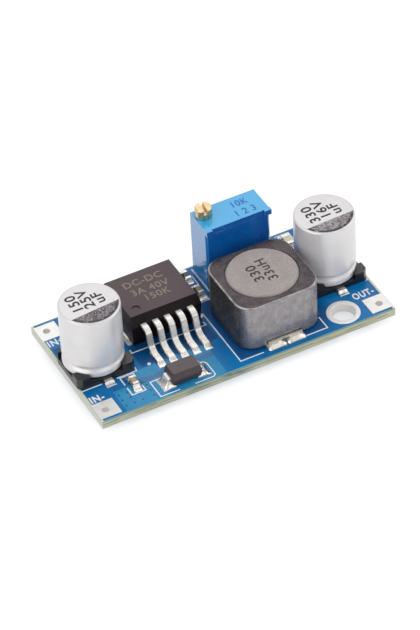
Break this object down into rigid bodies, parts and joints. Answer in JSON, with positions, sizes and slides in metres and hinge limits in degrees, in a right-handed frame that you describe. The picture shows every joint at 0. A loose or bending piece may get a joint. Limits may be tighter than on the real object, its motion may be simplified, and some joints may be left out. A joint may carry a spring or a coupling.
{
  "type": "step-down converter module",
  "caption": "Small blue circuit board that steps a DC voltage down, with can capacitors, a regulator, a shielded inductor and an adjusting trimmer",
  "frame": {"origin": "centre of the board's underside, midway between the two mounting holes", "axes": "+X towards the output end along the long side of the board, +Y towards the long edge with the trimmer, +Z out of the component side of the board"},
  "size_m": [0.0432, 0.021, 0.0138],
  "materials": {
    "board_mask": "glossy blue solder mask on glass laminate",
    "tinned_copper": "bright tinned copper",
    "can_aluminium": "satin drawn aluminium",
    "black_moulding": "matte black moulding",
    "tinned_lead": "tinned metal",
    "solder": "smooth bright solder",
    "ferrite": "fine-grained grey ferrite",
    "ferrite_ground": "ground ferrite face",
    "copper_wire": "enamelled copper wire",
    "adhesive": "cured adhesive",
    "trimmer_blue": "blue moulded plastic",
    "screw_brass": "turned brass",
    "seal_rubber": "soft rubber ring",
    "wheel_nylon": "natural nylon",
    "wiper_brass": "spring metal",
    "element_ceramic": "white ceramic",
    "chip_ceramic": "tan ceramic",
    "chip_plating": "plated ends",
    "chip_resistor": "dark glaze",
    "indicator_resin": "translucent resin"
  },
  "bodies": {
    "board_assembly": {"circuit_board": "board_mask", "input_positive_land": "tinned_copper", "input_negative_land": "tinned_copper", "output_positive_land": "tinned_copper", "output_negative_land": "tinned_copper", "front_mounting_ring": "tinned_copper", "back_mounting_ring": "tinned_copper", "input_capacitor_can": "can_aluminium", "input_capacitor_base": "black_moulding", "input_capacitor_leads": "tinned_lead", "input_capacitor_solder": "solder", "output_capacitor_can": "can_aluminium", "output_capacitor_base": "black_moulding", "output_capacitor_leads": "tinned_lead", "output_capacitor_solder": "solder", "regulator_body": "black_moulding", "regulator_tab": "tinned_lead", "regulator_lead_1": "tinned_lead", "regulator_lead_2": "tinned_lead", "regulator_lead_3": "tinned_lead", "regulator_lead_4": "tinned_lead", "regulator_lead_5": "tinned_lead", "regulator_solder": "solder", "inductor_shield": "ferrite", "inductor_core": "ferrite_ground", "inductor_winding": "copper_wire", "inductor_bond": "adhesive", "inductor_front_clip": "tinned_lead", "inductor_back_clip": "tinned_lead", "inductor_solder": "solder", "trimmer_housing": "trimmer_blue", "trimmer_seal_ring": "seal_rubber", "trimmer_element": "element_ceramic", "trimmer_base_seal": "adhesive", "trimmer_pin_1": "tinned_lead", "trimmer_pin_2": "tinned_lead", "trimmer_pin_3": "tinned_lead", "trimmer_solder": "solder", "diode_body": "black_moulding", "diode_input_strap": "tinned_lead", "diode_output_strap": "tinned_lead", "diode_solder": "solder", "filter_capacitor_body": "chip_ceramic", "filter_capacitor_ends": "chip_plating", "filter_capacitor_solder": "solder", "feedback_capacitor_body": "chip_ceramic", "feedback_capacitor_ends": "chip_plating", "feedback_capacitor_solder": "solder", "feedback_resistor_body": "chip_resistor", "feedback_resistor_ends": "chip_plating", "feedback_resistor_solder": "solder", "indicator_body": "indicator_resin", "indicator_ends": "chip_plating", "indicator_solder": "solder"},
    "adjusting_screw": {"trimmer_screw": "screw_brass"},
    "wiper_wheel": {"trimmer_wheel": "wheel_nylon", "trimmer_wiper": "wiper_brass"}
  },
  "joints": [
    {"name": "trimmer_adjust", "type": "hinge", "parent": "board_assembly", "child": "adjusting_screw", "pos_m": [0.00341, 0.00828, 0.0067], "axis": [0, 0, 1], "range_deg": [-4500, 4500]},
    {"name": "wiper_turn", "type": "hinge", "parent": "board_assembly", "child": "wiper_wheel", "pos_m": [0.00724, 0.00828, 0.00668], "axis": [0, 1, 0], "range_deg": [-150, 150]}
  ],
  "couplings": [
    {"joint": "wiper_turn", "follows": "trimmer_adjust", "ratio": -0.033333}
  ]
}
